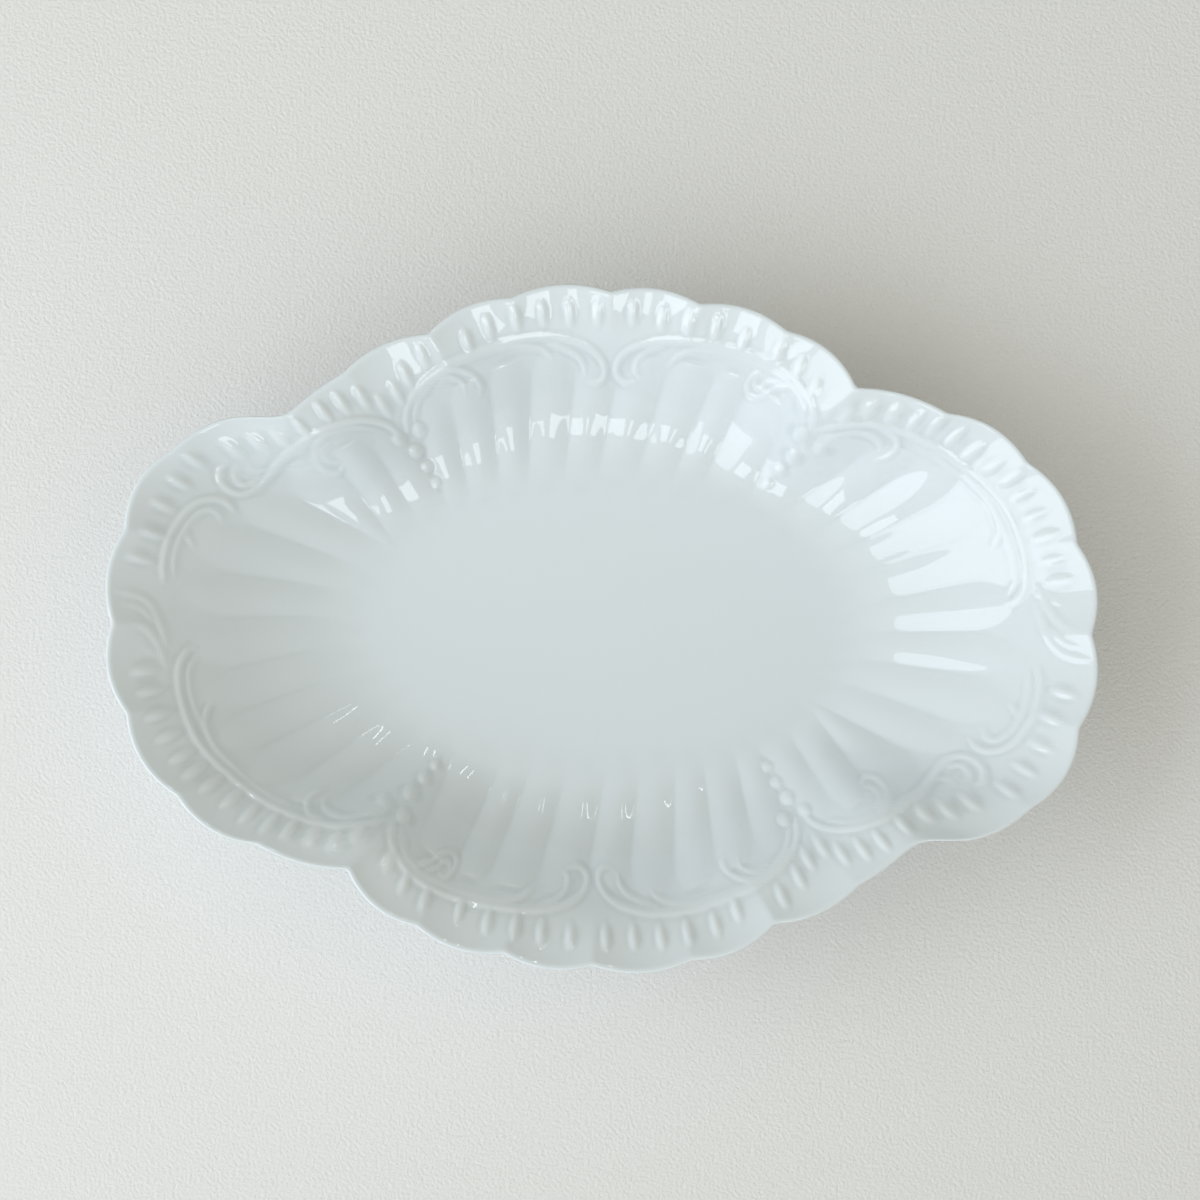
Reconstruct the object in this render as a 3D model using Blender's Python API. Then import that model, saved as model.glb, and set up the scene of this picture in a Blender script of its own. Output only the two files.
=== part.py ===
"""Oval porcelain appetizer dish: a moulded dish with a scalloped rim and a gadrooned wall, on a foot ring.

Metres, +Z up. The origin is under the middle of the dish, on the surface that it stands on.
The long axis is X. The outline repeats after half a turn about Z, and is not mirrored.
"""

import math

import bmesh
import bpy
import numpy as np

# Plan sizes
DISH_LENGTH = 0.240
DISH_WIDTH = 0.1664
WELL_LENGTH = 0.138
WELL_WIDTH = 0.080
RIM_WIDTH = 0.014
SCALLOP_RISE = 0.0038

# Heights, from the table up
FOOT_HEIGHT = 0.004
FLOOR_THICKNESS = 0.004
WALL_RISE = 0.020
RIM_RISE = 0.010

# Clay thicknesses
WALL_THICKNESS = 0.0036
LIP_THICKNESS = 0.0024

# Gadroons: raised lobes that run up the wall
LOBE_RISE = 0.0014
UNDERSIDE_LOBE_RISE = 0.0007
LOBES_ON_LONG_SIDE = 9
LOBES_ON_END = 12
SAMPLES_PER_LOBE = 6

# Foot ring
FOOT_SETBACK = 0.006
FOOT_TOP_WALL = 0.0052
FOOT_SOLE_WALL = 0.0034
FOOT_EDGE_ROUND = 0.0006
FOOT_SAMPLES = 96
LUTING_GAP = 0.0003

# Half of the scalloped outline, from the left end over the back to the right end. Each row is a cusp:
# its angle round the dish's oval in degrees, its reach as a share of that oval, and the rise of the
# scallop that follows it, as a share of SCALLOP_RISE. The reach drops at the two notches.
CUSP_ANGLES_AND_SHARES = (
    (180.0, 0.984, 0.74),
    (164.1, 0.999, 0.82),
    (149.8, 1.003, 1.00),
    (137.3, 0.892, 0.16),
    (125.3, 0.902, 0.58),
    (112.7, 0.919, 0.63),
    (101.2, 0.974, 0.66),
    (89.3, 0.976, 0.61),
    (78.5, 0.962, 0.63),
    (67.1, 0.942, 0.74),
    (54.3, 0.868, 0.42),
    (42.5, 0.938, 0.66),
    (30.2, 0.985, 0.76),
    (15.3, 0.988, 0.76),
)
POINTS_PER_SCALLOP = 24
ARC_STEPS_PER_COLUMN = 40

# Angles, in degrees round an oval, of the bead lines that part the long sides from the ends, at the
# wall's foot and at its top. The other two lie half a turn away.
BEAD_LINE_FRONT_RIGHT = {"foot": 306.1, "top": 300.2}
BEAD_LINE_FRONT_LEFT = {"foot": 237.4, "top": 242.3}

# Shape of the section: the slope with which the wall meets the rim, as a share of its mean slope, the
# share of the rim's rise that is straight, and where lobes swell and end along the wall
WALL_END_SLOPE_SHARE = 0.7
RIM_STRAIGHT_SHARE = 0.6
LOBE_SWELL_SHARES = (0.0, 0.45)
LOBE_CLOSE_SHARES = (0.88, 1.0)

# Rings of the mesh along the section
WALL_RING_SHARES = (0.0, 0.12, 0.26, 0.42, 0.6, 0.78, 0.92, 1.0)
RIM_RING_SHARES = (0.3, 0.6, 0.85)
LIP_ANGLES = (135.0, 95.0, 50.0, 0.0, -45.0)
UNDERSIDE_WALL_SHARES = (1.0, 0.6, 0.26, 0.0)
UNDERSIDE_RIM_SHARE = 0.6
SLOPE_STEP_SHARE = 0.02
SHARP_EDGE_DEGREES = 40.0

FLOOR_TOP = FOOT_HEIGHT + FLOOR_THICKNESS
WALL_TOP = FLOOR_TOP + WALL_RISE
DISH_HEIGHT = WALL_TOP + RIM_RISE
HALF_TURN_DEGREES = 180.0


def clear_scene():
    for thing in list(bpy.data.objects):
        bpy.data.objects.remove(thing, do_unlink=True)


def smooth_step(start, end, value):
    share = np.clip((value - start) / (end - start), 0.0, 1.0)
    return share * share * (3.0 - 2.0 * share)


def oval(length, width, degrees):
    """Points of an oval at angles measured round it."""
    turn = np.radians(degrees)
    return np.column_stack((length / 2 * np.cos(turn), width / 2 * np.sin(turn)))


def cusp_points():
    """All the cusps, one half turn after the other, clockwise from the left end."""
    angles = np.array([row[0] for row in CUSP_ANGLES_AND_SHARES])
    reach = np.array([row[1] for row in CUSP_ANGLES_AND_SHARES])
    half = oval(DISH_LENGTH, DISH_WIDTH, angles) * reach[:, None]
    return np.vstack((half, -half))


def scalloped_outline():
    """The outline as a closed line of points: each scallop is a shallow arch between two cusps."""
    cusps = cusp_points()
    rises = [SCALLOP_RISE * row[2] for row in CUSP_ANGLES_AND_SHARES] * 2
    share = np.arange(POINTS_PER_SCALLOP) / POINTS_PER_SCALLOP
    arch = 4.0 * share * (1.0 - share)
    scallops = []
    for start, end, rise in zip(cusps, np.roll(cusps, -1, axis=0), rises):
        chord = end - start
        outward = np.array((-chord[1], chord[0])) / np.hypot(*chord)
        scallops.append(start + share[:, None] * chord + rise * arch[:, None] * outward)
    outline = np.vstack(scallops)
    reach = np.abs(outline).max(axis=0)
    return outline * (np.array((DISH_LENGTH, DISH_WIDTH)) / 2 / reach)


def reach_at(points, turn):
    """How far a closed line of points lies from the middle, at the given directions."""
    directions = np.arctan2(points[:, 1], points[:, 0])
    order = np.argsort(directions)
    reach = np.hypot(points[:, 0], points[:, 1])[order]
    return np.interp(turn, directions[order], reach, period=2 * math.pi)


def wall_top_line():
    """The line where the wall meets the rim: a smooth loop through the cusps, set in by the rim's width."""
    cusps = cusp_points()
    before, after = np.roll(cusps, 1, axis=0), np.roll(cusps, -1, axis=0)
    beyond = np.roll(cusps, -2, axis=0)
    share = (np.arange(POINTS_PER_SCALLOP) / POINTS_PER_SCALLOP)[:, None]
    runs = []
    for a, b, c, d in zip(before, cusps, after, beyond):
        bend = 2 * a - 5 * b + 4 * c - d
        twist = 3 * b - 3 * c + d - a
        runs.append(b + share / 2 * (c - a + share * (bend + share * twist)))
    loop = np.vstack(runs)
    reach = np.hypot(loop[:, 0], loop[:, 1])[:, None]
    return loop * (1.0 - RIM_WIDTH / reach)


def even_angles(start, end, count, length, width):
    """Angles round an oval, from start up to end, that part its edge into equal lengths."""
    fine = np.linspace(start, end, ARC_STEPS_PER_COLUMN * count + 1)
    steps = np.hypot(*np.diff(oval(length, width, fine), axis=0).T)
    along = np.concatenate(((0.0,), np.cumsum(steps)))
    return np.interp(np.linspace(0.0, along[-1], count + 1)[:-1], along, fine)


def column_angles(level, length, width):
    """The angle of every mesh column at the wall's foot or top, with whole lobes between the bead lines."""
    right, left = BEAD_LINE_FRONT_RIGHT[level], BEAD_LINE_FRONT_LEFT[level]
    end_count = LOBES_ON_END * SAMPLES_PER_LOBE
    side_count = LOBES_ON_LONG_SIDE * SAMPLES_PER_LOBE
    end = even_angles(right - HALF_TURN_DEGREES, left, end_count, length, width)
    side = even_angles(left, right, side_count, length, width)
    half = np.concatenate((end, side))
    return np.concatenate((half, half + HALF_TURN_DEGREES))


def lobe_arch():
    """Height share of each mesh column across its lobe: an arch that falls to a sharp valley."""
    share = np.arange(SAMPLES_PER_LOBE) / SAMPLES_PER_LOBE
    lobes = 2 * (LOBES_ON_END + LOBES_ON_LONG_SIDE)
    return np.tile(4.0 * share * (1.0 - share), lobes)


def lobe_swell(station):
    return smooth_step(*LOBE_SWELL_SHARES, station) * (1.0 - smooth_step(*LOBE_CLOSE_SHARES, station))


def wall_height(station):
    """Height of the wall between its foot at 0 and its top at 1: level at the foot, then a long slope."""
    share = station**2 * (3.0 - WALL_END_SLOPE_SHARE - station * (2.0 - WALL_END_SLOPE_SHARE))
    return FLOOR_TOP + WALL_RISE * share


def rim_height(station, lip_start):
    """Height of the rim between the wall at 0 and the lip at 1: it cups upwards as it runs out."""
    share = station * (RIM_STRAIGHT_SHARE + (1.0 - RIM_STRAIGHT_SHARE) * station)
    return WALL_TOP + (lip_start - WALL_TOP) * share


def ring(plan, height):
    return np.column_stack((plan, np.broadcast_to(height, len(plan))))


def lip_ring(outline, degrees):
    """One ring round the rolled lip, a half-round bead on the outline."""
    turn = math.radians(degrees)
    radius = LIP_THICKNESS / 2
    reach = np.hypot(outline[:, 0], outline[:, 1])[:, None]
    plan = outline * (1.0 - radius * (1.0 - math.cos(turn)) / reach)
    return ring(plan, DISH_HEIGHT - radius * (1.0 - math.sin(turn)))


def set_back(ring_inside, ring_here, ring_outside, thickness):
    """A ring moved square to the section by the clay's thickness, down and outwards."""
    along = ring_outside - ring_inside
    run = np.hypot(along[:, 0], along[:, 1])
    slant = np.hypot(run, along[:, 2])
    outward = along[:, :2] / run[:, None] * (along[:, 2] / slant)[:, None]
    downward = -(run / slant)[:, None]
    return ring_here + thickness * np.hstack((outward, downward))


def dish_plan():
    """Where each mesh column meets the well's edge, the top of the wall and the outline, seen from above."""
    well = oval(WELL_LENGTH, WELL_WIDTH, column_angles("foot", WELL_LENGTH, WELL_WIDTH))
    top_length, top_width = DISH_LENGTH - 2 * RIM_WIDTH, DISH_WIDTH - 2 * RIM_WIDTH
    aim = oval(top_length, top_width, column_angles("top", top_length, top_width))
    turn = np.arctan2(aim[:, 1], aim[:, 0])
    heading = np.column_stack((np.cos(turn), np.sin(turn)))
    wall_top = heading * reach_at(wall_top_line(), turn)[:, None]
    outline = heading * reach_at(scalloped_outline(), turn)[:, None]
    return well, wall_top, outline


def wall_ring(well, wall_top, station, lobe_rise=0.0):
    plan = well + (wall_top - well) * station
    return ring(plan, wall_height(station) + lobe_rise * lobe_swell(station) * lobe_arch())


def rim_ring(wall_top, lip_start, station):
    plan = wall_top + (lip_start[:, :2] - wall_top) * station
    return ring(plan, rim_height(station, lip_start[0, 2]))


def wall_ring_outside(well, wall_top, station):
    """The wall's outer face: the inner face set back by the clay's thickness, with shallower lobes."""
    if station == 0.0:
        return ring(well, FOOT_HEIGHT)
    lower = wall_ring(well, wall_top, station - SLOPE_STEP_SHARE)
    upper = wall_ring(well, wall_top, min(station + SLOPE_STEP_SHARE, 1.0))
    face = wall_ring(well, wall_top, station, UNDERSIDE_LOBE_RISE)
    return set_back(lower, face, upper, WALL_THICKNESS)


def dish_rings():
    """The dish's rings in order: up the inside from the well, over the lip, and back down the outside."""
    well, wall_top, outline = dish_plan()
    lip = [lip_ring(outline, degrees) for degrees in LIP_ANGLES]
    wall = [wall_ring(well, wall_top, station, LOBE_RISE) for station in WALL_RING_SHARES]
    rim = [rim_ring(wall_top, lip[0], station) for station in RIM_RING_SHARES]
    rim_foot = rim_ring(wall_top, lip[0], 0.0)
    rim_face = rim_ring(wall_top, lip[0], UNDERSIDE_RIM_SHARE)
    under_rim = set_back(rim_foot, rim_face, lip[0], (WALL_THICKNESS + LIP_THICKNESS) / 2)
    under_wall = [wall_ring_outside(well, wall_top, station) for station in UNDERSIDE_WALL_SHARES]
    return wall + rim + lip + [under_rim] + under_wall


def foot_rings():
    """The foot ring's section, as rings set in from the well's edge: it narrows towards its sole."""
    taper = (FOOT_TOP_WALL - FOOT_SOLE_WALL) / 2
    outer, inner = FOOT_SETBACK, FOOT_SETBACK + FOOT_TOP_WALL
    top = FOOT_HEIGHT - LUTING_GAP
    section = (
        (outer, top),
        (outer + taper, FOOT_EDGE_ROUND),
        (outer + taper + FOOT_EDGE_ROUND, 0.0),
        (inner - taper - FOOT_EDGE_ROUND, 0.0),
        (inner - taper, FOOT_EDGE_ROUND),
        (inner, top),
    )
    angles = np.arange(FOOT_SAMPLES) * (2 * HALF_TURN_DEGREES / FOOT_SAMPLES)
    return [
        ring(oval(WELL_LENGTH - 2 * inset, WELL_WIDTH - 2 * inset, angles), height)
        for inset, height in section
    ]


def loft(name, rings, closed_section):
    """A solid through rings of points: joined round on itself, or closed with a flat face at each end."""
    shape = bmesh.new()
    loops = [[shape.verts.new(point) for point in points] for points in rings]
    pairs = list(zip(loops, loops[1:]))
    if closed_section:
        pairs.append((loops[-1], loops[0]))
    else:
        shape.faces.new(loops[0])
        shape.faces.new(loops[-1])
    for lower, upper in pairs:
        for a, b, c, d in zip(lower, lower[1:] + lower[:1], upper[1:] + upper[:1], upper):
            shape.faces.new((a, b, c, d))
    bmesh.ops.recalc_face_normals(shape, faces=shape.faces)
    mesh = bpy.data.meshes.new(name)
    shape.to_mesh(mesh)
    shape.free()
    mesh.shade_smooth()
    mesh.set_sharp_from_angle(angle=math.radians(SHARP_EDGE_DEGREES))
    solid = bpy.data.objects.new(name, mesh)
    bpy.context.scene.collection.objects.link(solid)
    return solid


def clay_finish(name, colour, roughness):
    finish = bpy.data.materials.new(name)
    finish.use_nodes = True
    shader = finish.node_tree.nodes["Principled BSDF"]
    shader.inputs["Base Color"].default_value = (*colour, 1.0)
    shader.inputs["Roughness"].default_value = roughness
    shader.inputs["Metallic"].default_value = 0.0
    return finish


def glazed_porcelain():
    return clay_finish("glazed_porcelain", (0.80, 0.83, 0.83), 0.08)


def bare_porcelain():
    return clay_finish("bare_porcelain", (0.79, 0.78, 0.75), 0.55)


def dish_body():
    """The moulded dish: flat well, gadrooned wall, cupped rim and rolled lip."""
    solid = loft("dish_body", dish_rings(), closed_section=False)
    solid.data.materials.append(glazed_porcelain())
    return solid


def foot_ring():
    """The strip of clay luted under the well, which the dish stands on."""
    solid = loft("foot_ring", foot_rings(), closed_section=True)
    solid.data.materials.append(bare_porcelain())
    return solid


def assemble():
    clear_scene()
    stand = bpy.data.objects.new("appetizer_dish", None)
    bpy.context.scene.collection.objects.link(stand)
    for piece in (dish_body(), foot_ring()):
        piece.parent = stand


assemble()
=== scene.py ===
"""Looks of an oval porcelain appetizer dish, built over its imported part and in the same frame.

Sizes of the dish are in millimetres. The origin is under the middle of the dish, +X runs along it and +Z up.
The table, the light and the camera are in metres.
"""

import math

import bpy
import numpy as np
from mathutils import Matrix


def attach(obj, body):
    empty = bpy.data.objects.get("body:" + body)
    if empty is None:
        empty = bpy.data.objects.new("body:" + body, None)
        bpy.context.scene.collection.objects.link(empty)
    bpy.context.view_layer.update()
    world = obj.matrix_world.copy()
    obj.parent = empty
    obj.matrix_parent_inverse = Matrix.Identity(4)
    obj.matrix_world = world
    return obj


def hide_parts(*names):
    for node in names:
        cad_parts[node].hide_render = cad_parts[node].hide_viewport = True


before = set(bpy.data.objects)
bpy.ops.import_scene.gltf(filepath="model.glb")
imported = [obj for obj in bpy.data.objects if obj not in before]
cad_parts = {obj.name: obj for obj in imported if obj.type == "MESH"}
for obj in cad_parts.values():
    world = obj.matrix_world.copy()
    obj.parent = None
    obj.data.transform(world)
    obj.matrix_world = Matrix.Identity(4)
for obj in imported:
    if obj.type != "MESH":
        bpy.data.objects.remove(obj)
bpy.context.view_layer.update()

# Moulded dish
# One shell of white porcelain, pressed in a mould that carries the whole relief: gadroons up the wall,
# scrolls and beads along its top, seeds round the scalloped rim. It is dipped in clear glaze and fired.

MM = 0.001
DISH_LENGTH, DISH_WIDTH = 239.9, 166.3
FLAT_LENGTH, FLAT_WIDTH = 112.0, 82.0
WELL_LENGTH, WELL_WIDTH = 138.0, 80.0
WALL_TOP_LENGTH, WALL_TOP_WIDTH = 200.0, 124.0
RIM_WIDTH, RIM_WIDER_IN_FRONT = 14.0, 0.8
BASE_HEIGHT = 4.0
WELL_HEIGHT = 8.0
WALL_RISE_AT_SIDES, WALL_RISE_AT_ENDS = 18.8, 20.0
BEND_AT_SIDES, BEND_AT_ENDS = 0.8, 0.85
DISH_HEIGHT = 37.98
LIP_THICKNESS, LIP_INWARD, LIP_OUTWARD = 2.4, 1.6, 0.5
WALL_THICKNESS = 3.6

# Gadroons: their rise inside and outside, the shares of the way up the wall where they start and are full,
# and the shares of the way to their end where the fingertips begin and close. They start in the well.
LOBE_RISE, LOBE_RISE_OUTSIDE = 0.7, 0.5
LOBE_FROM, LOBE_FULL = -0.22, 0.38
LOBE_TIP, LOBE_END = 0.85, 0.965
LOBE_TIP_LIMIT, LOBE_TIP_ROUNDING = 1.3, 0.2
LOBE_ROUNDNESS = 1.1
COLUMNS_PER_LOBE = 24

# Half of the outline, from the left end over the back to the right end. Each row is a cusp between two
# scallops: its angle round the dish's oval, its share of that oval's reach, and the rise of the next scallop.
CUSPS = (
    (180.0, 0.984, 2.8), (164.1, 0.999, 3.1), (149.8, 1.003, 3.8), (137.3, 0.878, 0.6), (125.3, 0.902, 2.2),
    (112.7, 0.919, 2.4), (101.2, 0.974, 2.5), (89.3, 0.976, 2.3), (78.5, 0.962, 2.4), (67.1, 0.942, 2.8),
    (54.3, 0.868, 1.6), (42.5, 0.938, 2.8), (30.2, 0.985, 2.9), (15.3, 0.988, 2.9),
)
POINTS_PER_SCALLOP = 40

# Passes of softening: at every cusp, round the deep notch and along the top of the wall. The notch is the
# cusp at this place in the list, and its softening reaches this many points either way.
CUSP_ROUNDING = 1
NOTCH, NOTCH_REACH, NOTCH_ROUNDING = 3, 18, 60
WALL_TOP_ROUNDING = 500

# Half of the line where the gadroons end under the scrolls, from the left end over the front to the right
# end. It turns inwards sharply where a string of beads hangs from it.
GADROON_END = (
    (-106.4, 6.5), (-105.0, -4.8), (-103.7, -14.6), (-97.1, -31.2), (-83.3, -44.3), (-65.8, -49.8),
    (-51.8, -50.1), (-48.8, -57.0), (-40.3, -64.0), (-27.3, -68.8), (-13.0, -69.1), (-1.5, -66.8),
    (12.5, -70.0), (29.4, -67.7), (45.0, -57.4), (49.3, -49.0), (60.9, -48.7), (76.0, -41.4),
    (92.8, -30.4), (102.6, -22.7),
)

# Half of the valleys between the gadroons, as angles round the well's oval and round the wall top's oval.
VALLEYS = (
    (126.1, 120.2), (134.5, 128.4), (143.3, 135.5), (147.8, 145.9), (158.0, 155.8), (167.9, 168.4),
    (178.3, 179.4), (188.8, 192.8), (199.7, 202.7), (208.5, 211.7), (217.3, 220.9), (227.5, 227.5),
    (237.4, 242.3), (248.2, 249.8), (254.8, 254.8), (262.5, 261.4), (270.7, 268.0), (278.0, 273.7),
    (285.9, 279.8), (292.4, 286.2), (299.9, 292.9),
)

# Half of the scrolls: the height and half-width of each stroke, and the points that it runs through.
SCROLLS = (
    # left scroll of the front: outer and inner line, volute, and the small curl on its inside
    (0.42, 1.20, (
        (-50.6, -48.1), (-50.9, -50.8), (-50.4, -53.8), (-49.0, -56.7), (-46.9, -59.6), (-43.8, -62.4),
        (-38.8, -65.0), (-33.9, -66.7), (-29.0, -67.9), (-24.1, -68.7), (-19.2, -69.3), (-14.3, -69.4),
        (-10.3, -68.8), (-6.9, -67.8), (-4.2, -66.1), (-2.9, -63.6), (-3.4, -61.4), (-5.3, -60.0),
        (-7.7, -60.2),
    )),
    (0.30, 1.02, (
        (-48.6, -50.3), (-48.5, -53.3), (-47.4, -56.0), (-45.8, -58.2), (-43.6, -60.5), (-38.9, -63.1),
        (-33.9, -65.0), (-29.0, -66.4), (-24.1, -67.1), (-20.7, -67.0), (-18.0, -66.0), (-15.8, -64.0),
    )),
    (0.35, 1.02, (
        (-14.3, -68.1), (-11.1, -67.4), (-8.6, -65.9), (-7.6, -63.9), (-7.8, -62.2), (-8.9, -61.2),
    )),
    (0.35, 1.02, (
        (-45.3, -58.6), (-42.1, -58.5), (-39.9, -57.5), (-38.2, -56.4), (-36.2, -56.6), (-35.1, -58.3),
        (-35.7, -60.5), (-37.4, -61.9), (-39.1, -61.1),
    )),
    (0.30, 0.92, (
        (-42.6, -59.8), (-39.6, -59.6), (-38.2, -58.3), (-36.9, -58.8), (-36.8, -60.0), (-37.7, -60.8),
    )),
    # right scroll of the front
    (0.42, 1.20, (
        (48.6, -47.3), (48.7, -50.3), (47.9, -53.5), (45.7, -56.7), (42.3, -59.9), (38.0, -62.9),
        (33.6, -65.0), (28.7, -66.9), (23.8, -68.6), (18.2, -69.7), (12.8, -70.0), (7.8, -69.2),
        (3.9, -67.8), (1.4, -65.9), (0.0, -63.6), (0.1, -61.3), (1.6, -60.0), (3.4, -60.1),
    )),
    (0.35, 1.02, ((14.0, -68.3), (10.3, -67.6), (7.1, -66.2), (5.3, -64.2), (4.7, -61.8))),
    (0.30, 1.02, (
        (12.9, -65.1), (14.2, -66.6), (16.7, -67.5), (20.6, -67.7), (25.0, -67.1), (29.9, -65.6),
        (34.3, -63.8), (38.4, -61.5), (41.6, -59.2), (44.5, -56.1), (46.3, -53.0), (46.9, -49.8),
    )),
    (0.37, 1.12, (
        (30.7, -56.6), (30.4, -58.3), (31.5, -60.1), (33.8, -61.3), (36.7, -61.7), (39.7, -60.8),
        (42.3, -58.9),
    )),
    (0.30, 0.96, ((34.2, -56.8), (34.7, -58.8), (36.7, -59.8), (38.9, -59.6), (41.1, -58.0))),
    # lower scroll of the left end
    (0.42, 1.20, (
        (-53.0, -48.2), (-55.7, -48.9), (-59.6, -49.3), (-64.1, -49.4), (-68.5, -48.7), (-73.4, -47.4),
        (-78.3, -45.4), (-82.8, -43.1), (-87.0, -40.2), (-90.7, -37.2), (-94.9, -33.3), (-98.1, -29.5),
        (-100.5, -24.9), (-102.2, -20.0), (-103.1, -16.1), (-103.4, -12.6), (-102.8, -9.4), (-101.3, -7.1),
        (-99.9, -6.7),
    )),
    (0.25, 0.92, (
        (-75.9, -44.6), (-80.3, -42.6), (-84.5, -39.8), (-88.2, -36.9), (-92.2, -33.1), (-95.4, -28.7),
        (-98.2, -23.9), (-100.0, -19.5), (-101.0, -15.1), (-101.0, -11.6), (-99.8, -8.9),
    )),
    (0.35, 1.02, (
        (-95.4, -19.8), (-96.5, -21.1), (-97.0, -23.8), (-96.2, -27.3), (-94.4, -30.7), (-91.7, -33.6),
        (-88.7, -36.3),
    )),
    (0.37, 1.12, (
        (-67.6, -41.4), (-69.9, -42.0), (-71.7, -43.6), (-71.8, -45.4), (-70.5, -47.1), (-67.3, -48.1),
    )),
    (0.30, 0.96, (
        (-68.0, -43.4), (-67.8, -45.1), (-65.8, -46.8), (-61.9, -47.6), (-58.2, -47.4), (-55.0, -45.9),
        (-53.1, -44.0),
    )),
    # lower scroll of the right end, with its volute, hook and inner curl
    (0.42, 1.20, (
        (50.3, -44.4), (51.0, -46.6), (53.0, -48.4), (55.7, -49.2), (59.4, -49.2), (63.1, -48.4),
        (66.8, -47.1), (70.4, -45.4), (73.8, -43.4), (77.2, -41.0), (80.2, -38.5), (82.6, -35.7),
        (85.3, -32.9), (88.4, -31.4), (91.6, -32.0), (93.7, -34.2), (93.6, -36.8), (92.2, -38.0),
    )),
    (0.25, 0.92, ((56.2, -47.5), (60.4, -47.6), (64.5, -46.5), (68.5, -44.9), (72.1, -42.9), (75.5, -40.4))),
    (0.35, 1.02, ((84.6, -35.4), (86.5, -33.8), (89.0, -33.6), (90.4, -35.2), (90.3, -37.1))),
    (0.30, 0.92, ((82.6, -37.4), (84.8, -36.7), (86.5, -37.5), (87.3, -38.8))),
    (0.37, 1.12, (
        (64.6, -38.3), (65.9, -36.9), (68.4, -37.0), (70.2, -38.9), (70.6, -41.4), (69.5, -43.7),
        (67.2, -45.4),
    )),
    (0.30, 0.96, ((65.4, -39.3), (67.3, -39.4), (68.7, -40.7), (68.4, -42.4), (67.1, -43.7))),
    # scroll that meets it at the tip of the right end
    (0.42, 1.20, (
        (106.9, -9.4), (107.0, -13.6), (106.4, -17.2), (105.3, -20.9), (103.3, -24.4), (101.2, -27.2),
        (98.5, -29.2), (95.5, -29.9), (92.7, -29.2), (91.0, -27.1),
    )),
    (0.30, 0.96, (
        (104.7, -10.4), (104.7, -14.3), (104.0, -18.0), (102.6, -21.5), (100.6, -24.7), (98.4, -26.8),
        (96.2, -27.3), (94.6, -26.2), (94.0, -24.2),
    )),
    (0.35, 0.96, ((100.3, -18.0), (101.3, -19.8), (102.3, -21.5))),
    # leaf of four strokes at the tip of the left end
    (0.24, 1.30, (
        (-117.1, 7.1), (-114.9, 6.7), (-112.0, 5.7), (-109.7, 3.6), (-108.1, 0.6), (-107.0, -2.8),
        (-106.0, -6.5),
    )),
    (0.20, 1.20, ((-115.6, 4.0), (-113.2, 3.7), (-110.9, 2.3), (-109.3, -0.2))),
    (0.24, 1.30, (
        (-113.8, -0.6), (-111.9, -1.1), (-109.9, -2.9), (-108.3, -5.3), (-107.2, -8.0), (-106.2, -10.9),
    )),
    (0.17, 1.20, ((-112.1, -6.3), (-110.1, -7.0), (-108.4, -8.7))),
)
STROKE_STEP = 0.25
STROKE_TAPER, STROKE_END = 2.5, 0.55

# Half of the beads: radius and place.
BEADS = (
    (1.8, (45.8, -47.8)), (1.8, (46.7, -42.8)), (1.5, (44.2, -39.2)), (1.35, (42.1, -35.4)),
    (1.7, (50.7, -45.5)), (1.8, (-48.5, -47.5)), (1.9, (-47.2, -42.3)), (1.55, (-44.2, -38.9)),
    (1.35, (-41.5, -35.9)), (1.6, (-53.6, -43.9)),
)
BEAD_RISE_SHARE, BEAD_SPREAD, BEAD_ROUNDNESS = 0.45, 1.15, 1.3

# Half of the seeds: places of their middles on the rim. They fan out square to an oval.
SEEDS = (
    (-50.9, -57.8), (-47.1, -62.7), (-42.2, -66.8), (-33.7, -69.3), (-27.0, -72.2), (-20.2, -73.3),
    (-13.9, -74.5), (-6.8, -75.6), (1.8, -75.6), (8.6, -75.5), (15.2, -75.4), (21.7, -74.1), (28.3, -72.1),
    (33.4, -68.6), (44.3, -64.9), (48.4, -60.4), (50.6, -56.0), (53.9, -53.0), (58.8, -54.7), (63.7, -53.4),
    (68.1, -51.2), (73.4, -47.2), (78.7, -44.7), (84.3, -43.7), (89.9, -41.7), (98.9, -38.7), (103.0, -33.7),
    (106.8, -28.1), (109.0, -21.2), (112.1, -15.1), (-111.1, -12.1), (-109.3, -17.0), (-107.3, -22.8),
    (-104.8, -27.9), (-101.6, -32.8), (-98.6, -36.4), (-94.5, -39.5), (-89.5, -43.1), (-85.1, -46.5),
    (-80.2, -48.9), (-75.3, -50.3), (-69.9, -51.9), (-64.3, -53.1), (-58.7, -51.1),
)
SEED_LENGTH, SEED_WIDTH, SEED_RISE = 7.6, 3.1, 0.6
SEED_ROUNDNESS = 1.5
SEED_FAN = (120.0, 92.0)
JOIN_SHARPNESS = 4


def both_halves(points):
    """The points and their copies after half a turn."""
    return np.vstack((points, -np.asarray(points)))


def smooth_step(start, end, value):
    share = np.clip((value - start) / (end - start), 0.0, 1.0)
    return share * share * (3.0 - 2.0 * share)


def oval(length, width, degrees):
    turn = np.radians(degrees)
    return np.column_stack((length / 2 * np.cos(turn), width / 2 * np.sin(turn)))


def cusp_points():
    angles, shares, _ = np.array(CUSPS).T
    return both_halves(oval(DISH_LENGTH, DISH_WIDTH, angles) * shares[:, None])


def soften(line, passes, share=1.0):
    """A closed line with its corners rounded off, by a share that may differ from point to point."""
    for _ in range(passes):
        line = line + share * (np.roll(line, 1, axis=0) - 2.0 * line + np.roll(line, -1, axis=0)) / 4.0
    return line


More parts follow.
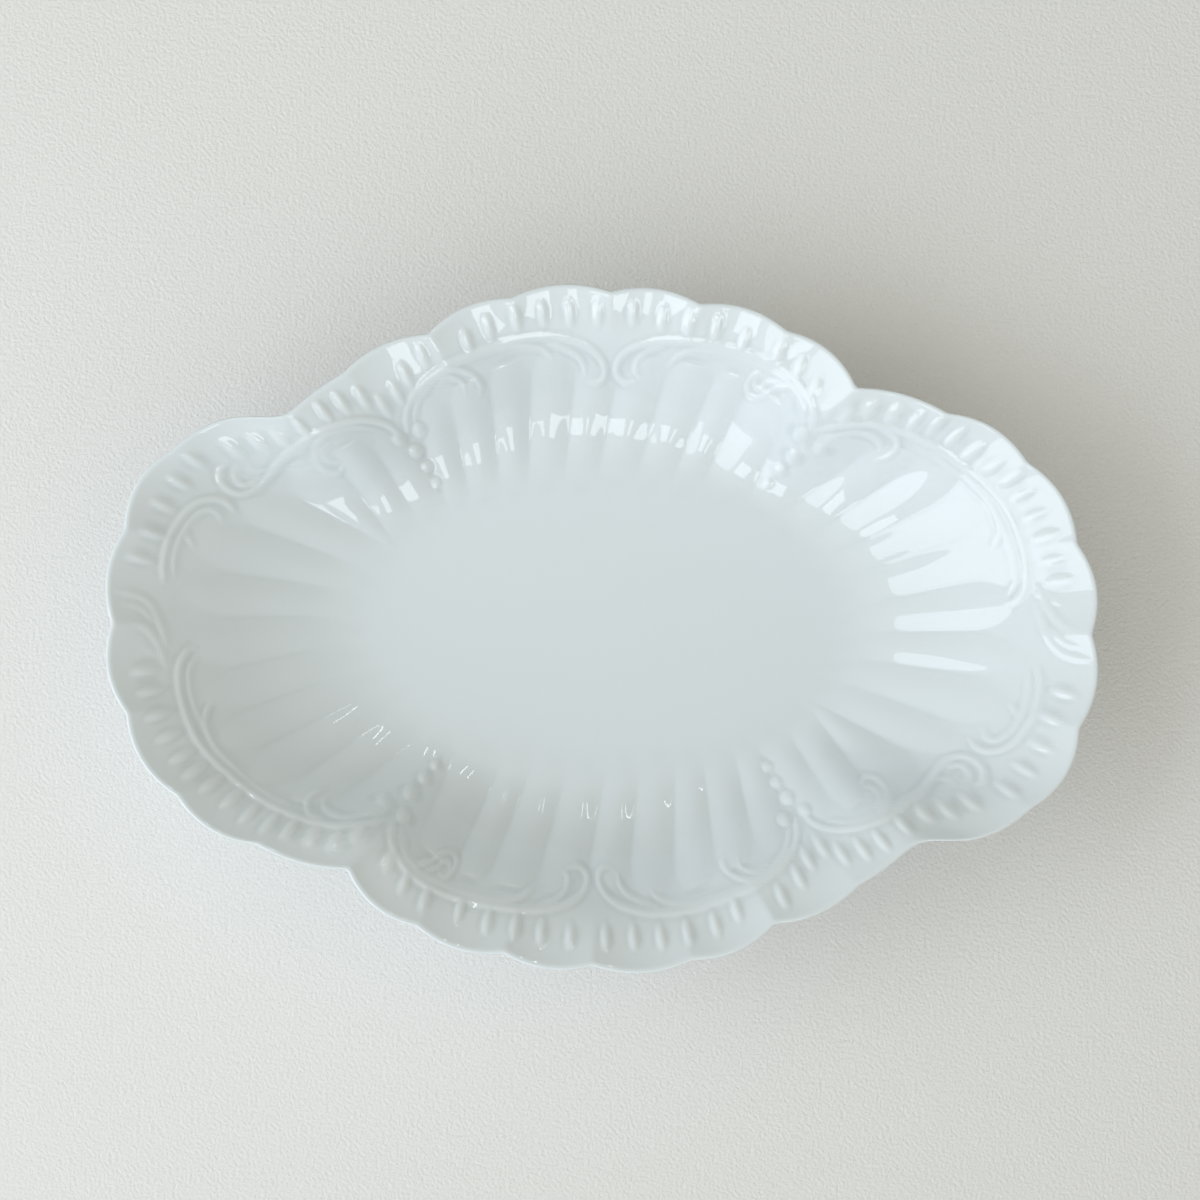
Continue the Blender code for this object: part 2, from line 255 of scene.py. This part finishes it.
def scalloped_outline():
    """The outline as a closed line: a shallow arch from cusp to cusp, with cusps that the glaze softens."""
    cusps = cusp_points()
    rises = np.tile([row[2] for row in CUSPS], 2)
    share = np.arange(POINTS_PER_SCALLOP) / POINTS_PER_SCALLOP
    arch = 4.0 * share * (1.0 - share)
    scallops = []
    for start, end, rise in zip(cusps, np.roll(cusps, -1, axis=0), rises):
        chord = end - start
        outward = np.array((-chord[1], chord[0])) / np.hypot(*chord)
        scallops.append(start + share[:, None] * chord + rise * arch[:, None] * outward)
    line = soften(np.vstack(scallops), CUSP_ROUNDING)
    half = len(line) // 2
    from_notch = np.abs((np.arange(len(line)) - NOTCH * POINTS_PER_SCALLOP + half // 2) % half - half // 2)
    line = soften(line, NOTCH_ROUNDING, 1.0 - smooth_step(NOTCH_REACH / 2, NOTCH_REACH, from_notch)[:, None])
    return line * (np.array((DISH_LENGTH, DISH_WIDTH)) / 2 / np.abs(line).max(axis=0))


def reach_at(line, turn):
    """How far a closed line lies from the middle of the dish, in the given directions."""
    directions = np.arctan2(line[:, 1], line[:, 0])
    order = np.argsort(directions)
    return np.interp(turn, directions[order], np.hypot(*line[order].T), period=2 * math.pi)


def run_through(points, step, closed=False):
    """Points at about one step from each other on a smooth line through the given points."""
    points = np.asarray(points, float)
    if closed:
        ends = np.vstack((points[-1:], points, points[:2]))
    else:
        ends = np.vstack((2 * points[0] - points[1], points, 2 * points[-1] - points[-2]))
    line = []
    for a, b, c, d in zip(ends, ends[1:], ends[2:], ends[3:]):
        share = np.arange(0.0, 1.0, step / np.hypot(*(c - b)))[:, None]
        bend = 2 * a - 5 * b + 4 * c - d
        twist = 3 * b - 3 * c + d - a
        line.append(b + share / 2 * (c - a + share * (bend + share * twist)))
    return np.vstack(line if closed else line + [points[-1:]])


def wall_top_line():
    """The line where the wall meets the rim: a smooth loop through the cusps, set in by the rim's width."""
    loop = soften(run_through(cusp_points(), STROKE_STEP, closed=True), WALL_TOP_ROUNDING)
    reach = np.hypot(*loop.T)[:, None]
    return loop * (1.0 - RIM_WIDTH / reach)


def bowl_section(turn):
    """In each direction: where the flat ends, the wall's width and rise, and the share of it that bends."""
    start = 0.5 / np.hypot(np.cos(turn) / FLAT_LENGTH, np.sin(turn) / FLAT_WIDTH)
    endwards = np.cos(turn) ** 4
    rise = WALL_RISE_AT_SIDES + (WALL_RISE_AT_ENDS - WALL_RISE_AT_SIDES) * endwards
    bend = BEND_AT_SIDES + (BEND_AT_ENDS - BEND_AT_SIDES) * endwards
    return start, reach_at(wall_top_loop, turn) - start, rise, bend


def bowl_height(plan):
    """Height of the plain well and wall: flat, then bending upwards, then straight."""
    start, width, rise, bend = bowl_section(np.arctan2(plan[:, 1], plan[:, 0]))
    share = np.clip((np.hypot(*plan.T) - start) / width, 0.0, 1.0)
    risen = np.where(share < bend, share**2 / (2 * bend), share - bend / 2) / (1.0 - bend / 2)
    return WELL_HEIGHT + rise * risen


def rim_height(share, slope_at_wall, slope_at_lip, rise):
    """Height up the rim over the top of the wall, from 0 there to 1 at the lip, in one sweep with both."""
    sweep = share**2 * (3.0 - 2.0 * share) * rise
    return sweep + share * (1.0 - share) ** 2 * slope_at_wall - share**2 * (1.0 - share) * slope_at_lip


def stroke_relief(plan, rise, half_width, points):
    """Height that one stroke of a scroll adds: a rounded ridge that tapers at both ends."""
    line = run_through(points, STROKE_STEP)
    near = np.flatnonzero(
        np.all((plan > line.min(axis=0) - half_width) & (plan < line.max(axis=0) + half_width), axis=1)
    )
    gap = np.hypot(*(plan[near, None, :] - line[None, :, :]).transpose(2, 0, 1))
    closest = gap.argmin(axis=1)
    from_end = np.minimum(closest, len(line) - 1 - closest) * STROKE_STEP
    body = STROKE_END + (1.0 - STROKE_END) * smooth_step(0.0, STROKE_TAPER, from_end)
    share = np.clip(gap.min(axis=1) / (half_width * body), 0.0, 1.0)
    added = np.zeros(len(plan))
    added[near] = rise * body * (1.0 - share**2) ** 2
    return added


def bead_relief(plan, radius, place):
    share = np.clip(np.hypot(*(plan - place).T) / (BEAD_SPREAD * radius), 0.0, 1.0)
    return BEAD_RISE_SHARE * radius * (1.0 - share**2) ** BEAD_ROUNDNESS


def seed_relief(plan, place):
    """Height that one seed adds: a long rounded drop that points across the rim."""
    across = np.array(place) / np.square(SEED_FAN)
    across /= np.hypot(*across)
    offset = plan - place
    along = (offset @ across) / (SEED_LENGTH / 2)
    aside = (offset @ np.array((-across[1], across[0]))) / (SEED_WIDTH / 2)
    return SEED_RISE * np.clip(1.0 - along**2 - aside**2, 0.0, 1.0) ** SEED_ROUNDNESS


def relief(plan):
    """Height of all the ornament over the plain wall and rim, softly joined where pieces of it meet."""
    joined = np.zeros(len(plan))
    for turn in (1.0, -1.0):
        turned = plan * turn
        pieces = [stroke_relief(turned, *scroll) for scroll in SCROLLS]
        pieces += [bead_relief(turned, *bead) for bead in BEADS]
        pieces += [seed_relief(turned, place) for place in SEEDS]
        joined += sum(piece**JOIN_SHARPNESS for piece in pieces)
    return joined ** (1.0 / JOIN_SHARPNESS)


def set_back(before, here, after, thickness):
    """A ring moved square to the section by the clay's thickness, down and outwards."""
    along = after - before
    run = np.hypot(along[:, 0], along[:, 1])
    slant = np.hypot(run, along[:, 2])
    outward = along[:, :2] / run[:, None] * (along[:, 2] / slant)[:, None]
    return here + thickness * np.column_stack((outward, -run / slant))


def skin(rings):
    """Faces of a sheet through closed rings. A ring may have half as many points as its neighbour."""
    starts = np.cumsum([0] + [len(ring) for ring in rings])
    faces = []
    for start, beyond, ring, after in zip(starts, starts[1:], rings, rings[1:]):
        here, there = start + np.arange(len(ring)), beyond + np.arange(len(after))
        if len(ring) == len(after):
            rows = [(here, there, np.roll(there, -1), np.roll(here, -1))]
        elif len(ring) < len(after):
            even, odd = there[::2], there[1::2]
            rows = [
                (here, even, odd),
                (here, odd, np.roll(here, -1)),
                (np.roll(here, -1), odd, np.roll(even, -1)),
            ]
        else:
            even, odd = here[::2], here[1::2]
            rows = [
                (there, odd, even),
                (there, np.roll(there, -1), odd),
                (np.roll(there, -1), np.roll(even, -1), odd),
            ]
        for row in rows:
            faces += np.column_stack(row).tolist()
    return faces


def shell(name, rings, closed):
    """A mesh object through rings: closed on itself, or with its first and last ring drawn to a point."""
    points = np.vstack(rings)
    if closed:
        faces = skin(rings + [rings[0]])
        faces = (np.array(faces) % len(points)).tolist()
    else:
        faces = skin(rings)
        first, last = rings[0], rings[-1]
        points = np.vstack((points, first.mean(axis=0), last.mean(axis=0)))
        top, bottom = len(points) - 2, len(points) - 1
        ahead = np.arange(len(first))
        faces += np.column_stack((np.full(len(first), top), ahead, np.roll(ahead, -1))).tolist()
        behind = top - len(last) + np.arange(len(last))
        faces += np.column_stack((np.full(len(last), bottom), np.roll(behind, -1), behind)).tolist()
    mesh = bpy.data.meshes.new(name)
    mesh.from_pydata((points * MM).tolist(), [], faces)
    mesh.validate()
    mesh.shade_smooth()
    piece = bpy.data.objects.new(name, mesh)
    bpy.context.scene.collection.objects.link(piece)
    return piece


# Plan of the mesh: where each column meets the well's edge, the top of the wall and the outline.
lobes = len(VALLEYS)
valley_angles = np.vstack((VALLEYS, np.add(VALLEYS[0], 180.0)))
column = np.arange(lobes * COLUMNS_PER_LOBE) / COLUMNS_PER_LOBE
half_angles = np.column_stack([np.interp(column, np.arange(lobes + 1), side) for side in valley_angles.T])
angles = np.vstack((half_angles, half_angles + 180.0))
lobe_share = np.tile(column % 1.0, 2)
lobe_arch = np.sin(math.pi * lobe_share) ** LOBE_ROUNDNESS

well_edge = oval(WELL_LENGTH, WELL_WIDTH, angles[:, 0])
aim = oval(WALL_TOP_LENGTH, WALL_TOP_WIDTH, angles[:, 1])
turn = np.arctan2(aim[:, 1], aim[:, 0])
heading = np.column_stack((np.cos(turn), np.sin(turn)))
wall_top_loop = wall_top_line()
wall_top = heading * reach_at(wall_top_loop, turn)[:, None]
rim_shift = np.array((0.0, RIM_WIDER_IN_FRONT))
outline = heading * reach_at(scalloped_outline() - rim_shift, turn)[:, None]

# The rolled lip is wider towards the rim than outwards. Its rings are given by their angle about its middle.
LIP_TURNS = (140.0, 122.0, 105.0, 90.0, 65.0, 40.0, 15.0, -15.0, -45.0)
lip_radius = LIP_THICKNESS / 2
lip = []
for degrees in LIP_TURNS:
    reach = LIP_INWARD if degrees > 90.0 else LIP_OUTWARD
    inset = LIP_OUTWARD - reach * math.cos(math.radians(degrees))
    height = DISH_HEIGHT - lip_radius * (1.0 - math.sin(math.radians(degrees)))
    lip.append(np.column_stack((outline - inset * heading, np.full(len(outline), height))))
gadroon_end = run_through(both_halves(GADROON_END), STROKE_STEP, closed=True)


def lobe_height(plan, share):
    """Height of the gadroons, as a share of their rise: they swell out of the well and end as fingertips."""
    end = np.hypot(*plan.T) / reach_at(gadroon_end, np.arctan2(plan[:, 1], plan[:, 0]))
    tip = np.clip((end - LOBE_TIP) / (LOBE_END - LOBE_TIP), 0.0, LOBE_TIP_LIMIT) ** 2
    left = lobe_arch - tip
    return smooth_step(LOBE_FROM, LOBE_FULL, share) * (left + np.sqrt(left**2 + LOBE_TIP_ROUNDING**2)) / 2


def wall_ring(share, lobe_rise):
    plan = well_edge + (wall_top - well_edge) * share
    return np.column_stack((plan, bowl_height(plan) + lobe_rise * lobe_height(plan, share)))


rim_width = np.hypot(*(lip[0][:, :2] - wall_top).T)
wall_width, wall_rise, wall_bend = bowl_section(turn)[1:]
slope_at_wall = wall_rise / wall_width / (1.0 - wall_bend / 2) * rim_width
slope_at_lip = (lip[1][0, 2] - lip[0][0, 2]) / np.hypot(*(lip[1][0] - lip[0][0])[:2]) * rim_width
rim_rise = lip[0][0, 2] - WELL_HEIGHT - wall_rise


def rim_ring(share):
    plan = wall_top + (lip[0][:, :2] - wall_top) * share
    height = WELL_HEIGHT + wall_rise + rim_height(share, slope_at_wall, slope_at_lip, rim_rise)
    return np.column_stack((plan, height))


def well_ring(share):
    plan = well_edge * share
    return np.column_stack((plan, bowl_height(plan)))


# Rings of the sheet: shares of the way across the well, up the wall and over the rim. Those of the back are
# set back by the clay's thickness, which the rim's rows give, square to a short step of the section.
WELL_SHARES = (0.25, 0.5, 0.65, 0.75)
WALL_SHARES = np.concatenate((
    (-0.28, -0.2, -0.13, -0.07),
    np.linspace(0.0, 0.4, 14, endpoint=False),
    np.linspace(0.4, 0.6, 7, endpoint=False),
    np.linspace(0.6, 1.0, 26, endpoint=False),
))
RIM_SHARES = np.linspace(0.0, 1.0, 25, endpoint=False)
RIM_BACK, RIM_BACK_STEP = ((0.85, 2.6), (0.6, 2.9), (0.35, 3.2), (0.12, 3.5)), 0.05
WALL_BACK_SHARES, WALL_BACK_STEP = (0.95, 0.85, 0.75, 0.65, 0.55, 0.45, 0.35, 0.25, 0.15, 0.07), 0.02
BASE_SHARES = (0.93, 0.6, 0.25)

well = [well_ring(share)[::2] for share in WELL_SHARES]
wall = [wall_ring(share, LOBE_RISE) for share in WALL_SHARES]
rim = [rim_ring(share) for share in RIM_SHARES]
inside = np.stack(wall + rim)
inside[:, :, 2] += relief(inside[:, :, :2].reshape(-1, 2)).reshape(inside.shape[:2])

rim_back = [
    set_back(
        rim_ring(share - RIM_BACK_STEP), rim_ring(share), rim_ring(share + RIM_BACK_STEP), thickness
    )[::2]
    for share, thickness in RIM_BACK
]
wall_back = [
    set_back(
        wall_ring(share - WALL_BACK_STEP, 0.0), wall_ring(share, LOBE_RISE_OUTSIDE),
        wall_ring(share + WALL_BACK_STEP, 0.0), WALL_THICKNESS,
    )[::2]
    for share in WALL_BACK_SHARES
]
base = [
    np.column_stack((well_edge * share, np.full(len(well_edge), BASE_HEIGHT)))[::2] for share in BASE_SHARES
]

dish_rings = well + list(inside) + lip + rim_back + wall_back + base
dish = shell("moulded_dish", [ring + (*rim_shift, 0.0) for ring in dish_rings], closed=False)


class Socket:
    """One value in a material. Arithmetic on it adds Math nodes, and node() adds any other node."""

    def __init__(self, tree, socket=None):
        self.tree, self.socket = tree, socket

    def node(self, kind, settings=None, inputs=None, output=0):
        """A new node: first its settings, then the values or links of its inputs."""
        made = self.tree.nodes.new(kind)
        for name, value in (settings or {}).items():
            setattr(made, name, value)
        for name, value in (inputs or {}).items():
            if isinstance(value, Socket):
                self.tree.links.new(value.socket, made.inputs[name])
            else:
                made.inputs[name].default_value = value
        return Socket(self.tree, made.outputs[output] if made.outputs else None)

    def math(self, operation, first, second):
        return self.node("ShaderNodeMath", {"operation": operation}, {0: first, 1: second})

    def __add__(self, other):
        return self.math("ADD", self, other)

    def __radd__(self, other):
        return self.math("ADD", other, self)

    def __sub__(self, other):
        return self.math("SUBTRACT", self, other)

    def __rsub__(self, other):
        return self.math("SUBTRACT", other, self)

    def __mul__(self, other):
        return self.math("MULTIPLY", self, other)

    def __rmul__(self, other):
        return self.math("MULTIPLY", other, self)


def new_finish(name):
    """A bare material, and the socket that its nodes are added from."""
    finish = bpy.data.materials.new(name)
    finish.use_nodes = True
    finish.node_tree.nodes.clear()
    return finish, Socket(finish.node_tree)


def show(socket, shader):
    socket.node("ShaderNodeOutputMaterial", None, {"Surface": shader})


# Colours go in and out of a Mix node at these sockets.
MIX_FIRST, MIX_SECOND, MIX_RESULT = 6, 7, 2


def blend(socket, share, first, second):
    """A colour that goes from the first to the second as the share goes from 0 to 1."""
    return socket.node(
        "ShaderNodeMix", {"data_type": "RGBA"},
        {"Factor": share, MIX_FIRST: first, MIX_SECOND: second}, output=MIX_RESULT,
    )


def step_between(socket, value, low, high):
    return socket.node(
        "ShaderNodeMapRange", {"interpolation_type": "SMOOTHSTEP"},
        {"Value": value, "From Min": low, "From Max": high},
    )


GLAZE_WHITE = (0.736, 0.79, 0.836, 1.0)
# Darker glaze colour for the hollows: gathered glaze, and painted shade there.
GLAZE_POOLED_AND_SHADED = (0.672, 0.73, 0.768, 1.0)
# Lighter glaze colour for the crests of the relief: thinner glaze, and painted light on the crests.
GLAZE_THIN_AND_LIT = (0.76, 0.812, 0.854, 1.0)
POOLED_AND_SHADED_FULL, THIN_AND_LIT_FULL, POOL_AND_SHADE_DRIFT = 1.2, 1.6, 0.3
GLAZE_ROUGHNESS, GLAZE_ROUGHNESS_SPREAD = 0.008, 0.012
FINE_WAVES = 0.06
glaze, tree = new_finish("clear_glaze_over_porcelain")
place = tree.node("ShaderNodeTexCoord", None, None, output="Object")
ripple = tree.node("ShaderNodeTexNoise", None, {"Vector": place, "Scale": 70.0, "Detail": 1.0})
mottle = tree.node("ShaderNodeTexNoise", None, {"Vector": place, "Scale": 240.0, "Detail": 3.0})
hollow = tree.node("ShaderNodeAttribute", {"attribute_name": "hollow"}, None, output="Fac")
drift = (mottle - 0.5) * POOL_AND_SHADE_DRIFT
# Mask of the darker colour: glaze gathered in the hollows, and painted shade in the hollows and creases.
pooled_and_shaded = step_between(tree, hollow + drift, 0.0, POOLED_AND_SHADED_FULL)
# Mask of the lighter colour on the crests: thinner glaze there, and painted light.
thin_and_lit = step_between(tree, drift - hollow, 0.0, THIN_AND_LIT_FULL)
waves = tree.node(
    "ShaderNodeBump", None, {"Strength": 0.12, "Distance": 0.0006, "Height": ripple + mottle * FINE_WAVES}
)
show(tree, tree.node("ShaderNodeBsdfPrincipled", None, {
    "Base Color": blend(tree, thin_and_lit, blend(tree, pooled_and_shaded, GLAZE_WHITE, GLAZE_POOLED_AND_SHADED), GLAZE_THIN_AND_LIT),
    "Roughness": GLAZE_ROUGHNESS + mottle * GLAZE_ROUGHNESS_SPREAD,
    "IOR": 1.52,
    "Normal": waves,
}))
dish.data.materials.append(glaze)

# Glaze runs off the edges and gathers in the hollows beside the relief, where it looks a little darker.
# That darker colour is also painted shade in the hollows and creases, and the crests are painted lighter as
# painted light.
HOLLOW_REACH, HOLLOW_DEPTH = 3, 0.16
plain = np.stack([bowl_height(ring[:, :2]) for ring in wall])
lift = inside[:, :, 2].copy()
lift[:len(plain)] -= plain
lift[len(plain):] -= np.stack(rim)[:, :, 2]
around = sum(np.roll(lift, step, axis=1) for step in (-HOLLOW_REACH, HOLLOW_REACH))
padded = np.pad(lift, ((HOLLOW_REACH, HOLLOW_REACH), (0, 0)), mode="edge")
around = (around + padded[:-2 * HOLLOW_REACH] + padded[2 * HOLLOW_REACH:]) / 4
hollows = np.zeros(len(dish.data.vertices))
first = sum(len(ring) for ring in well)
hollows[first:first + lift.size] = ((around - lift) / HOLLOW_DEPTH).ravel()
dish.data.attributes.new("hollow", "FLOAT", "POINT").data.foreach_set("value", hollows)

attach(dish, "root")
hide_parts("dish_body")

# Foot ring
# A strip of the same clay, rolled, luted under the well with slip and fired with the dish. Its sides are
# glazed, and its sole is ground flat and left bare so that it doesn't stick to the kiln shelf.

FOOT_SETBACK, FOOT_TOP_WALL, FOOT_SOLE_WALL = 6.0, 5.2, 3.4
foot_taper = (FOOT_TOP_WALL - FOOT_SOLE_WALL) / 2
foot_inner = FOOT_SETBACK + FOOT_TOP_WALL

# One side of the foot's section, from the dish down to the sole: distance in from its edge, and height.
foot_half = (
    (-0.8, 4.15), (-0.3, 3.8), (0.15, 3.3), (0.45, 2.6), (0.7, 1.6), (foot_taper, 0.7),
    (foot_taper + 0.12, 0.3), (foot_taper + 0.35, 0.07), (foot_taper + 0.65, 0.0),
)
foot_section = [(FOOT_SETBACK + inset, height) for inset, height in foot_half]
foot_section += [(foot_inner - inset, height) for inset, height in reversed(foot_half)]
foot_angles = np.arange(0.0, 360.0, 1.0)
foot_rings = [
    np.column_stack((
        oval(WELL_LENGTH - 2 * inset, WELL_WIDTH - 2 * inset, foot_angles), np.full(len(foot_angles), height)
    ))
    for inset, height in foot_section
]
foot = shell("luted_foot", foot_rings, closed=True)

BARE_CLAY = (0.76, 0.74, 0.70, 1.0)
BARE_ROUGHNESS, GLAZED_ROUGHNESS, ROUGHNESS_SPREAD = 0.62, 0.07, 0.05
GLAZE_LINE_LOW, GLAZE_LINE_HIGH, GLAZE_LINE_WANDER = 0.0006, 0.0009, 0.0004
bare, tree = new_finish("ground_porcelain_sole")
place = tree.node("ShaderNodeTexCoord", None, None, output="Object")
height = tree.node("ShaderNodeSeparateXYZ", None, {"Vector": place}, output="Z")
grain = tree.node("ShaderNodeTexNoise", None, {"Vector": place, "Scale": 1800.0, "Detail": 4.0})
glazed = step_between(
    tree, height + (grain - 0.5) * GLAZE_LINE_WANDER, GLAZE_LINE_LOW, GLAZE_LINE_HIGH
)
show(tree, tree.node("ShaderNodeBsdfPrincipled", None, {
    "Base Color": blend(tree, glazed, BARE_CLAY, GLAZE_WHITE),
    "Roughness": BARE_ROUGHNESS - glazed * (BARE_ROUGHNESS - GLAZED_ROUGHNESS) + grain * ROUGHNESS_SPREAD,
    "Normal": tree.node("ShaderNodeBump", None, {
        "Strength": 0.25, "Distance": 0.0002, "Height": grain * (1.0 - glazed),
    }),
}))
foot.data.materials.append(bare)
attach(foot, "root")
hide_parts("foot_ring")

# Table
# A board with a coat of pale plaster, rolled on so that it dried with a fine grain. The dish stands on it
# loose. Its top lies a hair under the sole, so that the two faces don't coincide.

PLASTER_DARK, PLASTER_LIGHT = (0.805, 0.8, 0.806, 1.0), (0.835, 0.83, 0.84, 1.0)
PLASTER_ROUGHNESS, PLASTER_ROUGHNESS_SPREAD = 0.75, 0.1
TABLE_SPAN, TABLE_TOP = 3.0, -0.00002


def board(name, width, depth, finish):
    """A plain flat board about its own middle."""
    side, end = width / 2, depth / 2
    mesh = bpy.data.meshes.new(name)
    mesh.from_pydata([(-side, -end, 0), (side, -end, 0), (side, end, 0), (-side, end, 0)], [], [(0, 1, 2, 3)])
    mesh.materials.append(finish)
    return bpy.data.objects.new(name, mesh)


plaster, tree = new_finish("pale_plaster")
place = tree.node("ShaderNodeTexCoord", None, None, output="Object")
grain = tree.node(
    "ShaderNodeTexNoise", None, {"Vector": place, "Scale": 1100.0, "Detail": 3.0, "Roughness": 0.55}
)
patches = tree.node("ShaderNodeTexNoise", None, {"Vector": place, "Scale": 9.0, "Detail": 2.0})
show(tree, tree.node("ShaderNodeBsdfPrincipled", None, {
    "Base Color": blend(tree, patches, PLASTER_DARK, PLASTER_LIGHT),
    "Roughness": PLASTER_ROUGHNESS + grain * PLASTER_ROUGHNESS_SPREAD,
    "Normal": tree.node("ShaderNodeBump", None, {"Strength": 0.65, "Distance": 0.0006, "Height": grain}),
}))
table = board("table", TABLE_SPAN, TABLE_SPAN, plaster)
table.location.z = TABLE_TOP
bpy.context.scene.collection.objects.link(table)

# Light
# A tall soft window at the front left and the pale wall beside it, in a room that is brighter towards the
# front. Bright panes farther off stand round the room as a backdrop, and only show as glints in the glaze.

WINDOW_TINT = (0.88, 0.95, 1.0)
ROOM_TINT_BACK, ROOM_TINT_FRONT = (1.0, 0.91, 0.62, 1.0), (0.92, 0.97, 1.0, 1.0)
ROOM_GLOW, ROOM_GLOW_FRONT = 0.59, 0.4
FRONTWARDS, WINDOWWARDS = (0.0, -1.0, 0.0), (-0.4, -0.92, 0.0)
BACKDROP_BACK, BACKDROP_FRONT = (0.44, 0.42, 0.37, 1.0), (0.74, 0.75, 0.75, 1.0)
LAMP_WATTS = 4.0


def hang(panel, azimuth, distance, low, high, aside=0.0):
    """Put an upright panel on a wall of the room, which stands at this distance in this direction."""
    turn = math.radians(azimuth)
    panel.location = (
        distance * math.cos(turn) - aside * math.sin(turn),
        distance * math.sin(turn) + aside * math.cos(turn),
        (low + high) / 2,
    )
    panel.rotation_euler = (math.radians(90.0), 0.0, turn + math.radians(90.0))
    bpy.context.scene.collection.objects.link(panel)


def lamp(name, glow, width, azimuth, distance, low, high):
    """A soft light that the glaze doesn't mirror. Its power follows from its glow and its area."""
    light = bpy.data.lights.new(name, "AREA")
    light.shape = "RECTANGLE"
    light.size, light.size_y = width, high - low
    light.energy = LAMP_WATTS * glow * width * (high - low)
    light.color = WINDOW_TINT
    panel = bpy.data.objects.new(name, light)
    panel.visible_glossy = False
    hang(panel, azimuth, distance, low, high)


def pane(name, glow, width, azimuth, distance, low, high, aside=0.0):
    """A bright pane that only the glaze mirrors."""
    bright, tree = new_finish(name)
    show(tree, tree.node("ShaderNodeEmission", None, {"Color": (*WINDOW_TINT, 1.0), "Strength": glow}))
    bright.cycles.emission_sampling = "NONE"
    panel = board(name, width, high - low, bright)
    panel.visible_camera = panel.visible_diffuse = panel.visible_transmission = panel.visible_shadow = False
    hang(panel, azimuth, distance, low, high, aside)


lamp("window_light", glow=1.27, width=0.88, azimuth=197.0, distance=0.6, low=0.16, high=0.92)
lamp("wall_light", glow=1.17, width=0.92, azimuth=155.0, distance=0.5, low=0.36, high=0.85)
pane("window", glow=3.05, width=1.89, azimuth=202.2, distance=2.0, low=0.345, high=3.09, aside=0.5)
pane("front_window", glow=4.2, width=0.5, azimuth=251.0, distance=2.0, low=1.22, high=2.3)
pane("front_pane", glow=4.2, width=0.16, azimuth=268.0, distance=2.0, low=1.22, high=2.15)
pane("right_pane", glow=4.8, width=0.42, azimuth=286.0, distance=2.0, low=0.9, high=2.2)
pane("back_pane_left", glow=9.0, width=0.03, azimuth=75.0, distance=1.2, low=1.2, high=2.2)
pane("back_pane_right", glow=9.0, width=0.03, azimuth=65.0, distance=1.2, low=1.2, high=2.2)

# The room lights the dish from all round. The camera and the glaze see its pale backdrop instead.
world = bpy.data.worlds.new("room")
world.use_nodes = True
world.node_tree.nodes.clear()
room = Socket(world.node_tree)
direction = room.node("ShaderNodeTexCoord", None, None)
frontwards, windowwards = (
    room.node(
        "ShaderNodeVectorMath", {"operation": "DOT_PRODUCT"}, {0: direction, 1: towards}, output="Value"
    )
    for towards in (FRONTWARDS, WINDOWWARDS)
)
glow = room.node("ShaderNodeBackground", None, {
    "Color": blend(room, windowwards * 0.5 + 0.5, ROOM_TINT_BACK, ROOM_TINT_FRONT),
    "Strength": ROOM_GLOW + frontwards * ROOM_GLOW_FRONT,
})
backdrop = room.node("ShaderNodeBackground", None, {
    "Color": blend(room, frontwards * 0.5 + 0.5, BACKDROP_BACK, BACKDROP_FRONT),
})
seen, mirrored, passed = (
    room.node("ShaderNodeLightPath", None, None, output=ray)
    for ray in ("Is Camera Ray", "Is Glossy Ray", "Is Transmission Ray")
)
room.node("ShaderNodeOutputWorld", None, {
    "Surface": room.node("ShaderNodeMixShader", None, {0: seen + mirrored + passed, 1: glow, 2: backdrop}),
})
bpy.context.scene.world = world
bpy.context.scene.view_settings.view_transform = "Standard"

# Camera
# A plain lens straight above the dish, a little behind its middle and held a little askew. Its view is set
# by the width that it takes in at the height of the lip.

CAMERA_HEIGHT = 0.638
CAMERA_PLACE = (-0.00055, 0.0069)
CAMERA_ROLL = 0.615
VIEW_SPAN = 0.2897
lens = bpy.data.cameras.new("camera")
lens.sensor_fit = "HORIZONTAL"
lens.angle = 2 * math.atan(VIEW_SPAN / 2 / (CAMERA_HEIGHT - (DISH_HEIGHT - lip_radius) * MM))
camera = bpy.data.objects.new("camera", lens)
camera.location = (*CAMERA_PLACE, CAMERA_HEIGHT)
camera.rotation_euler = (0.0, 0.0, math.radians(CAMERA_ROLL))
bpy.context.scene.collection.objects.link(camera)
bpy.context.scene.camera = camera
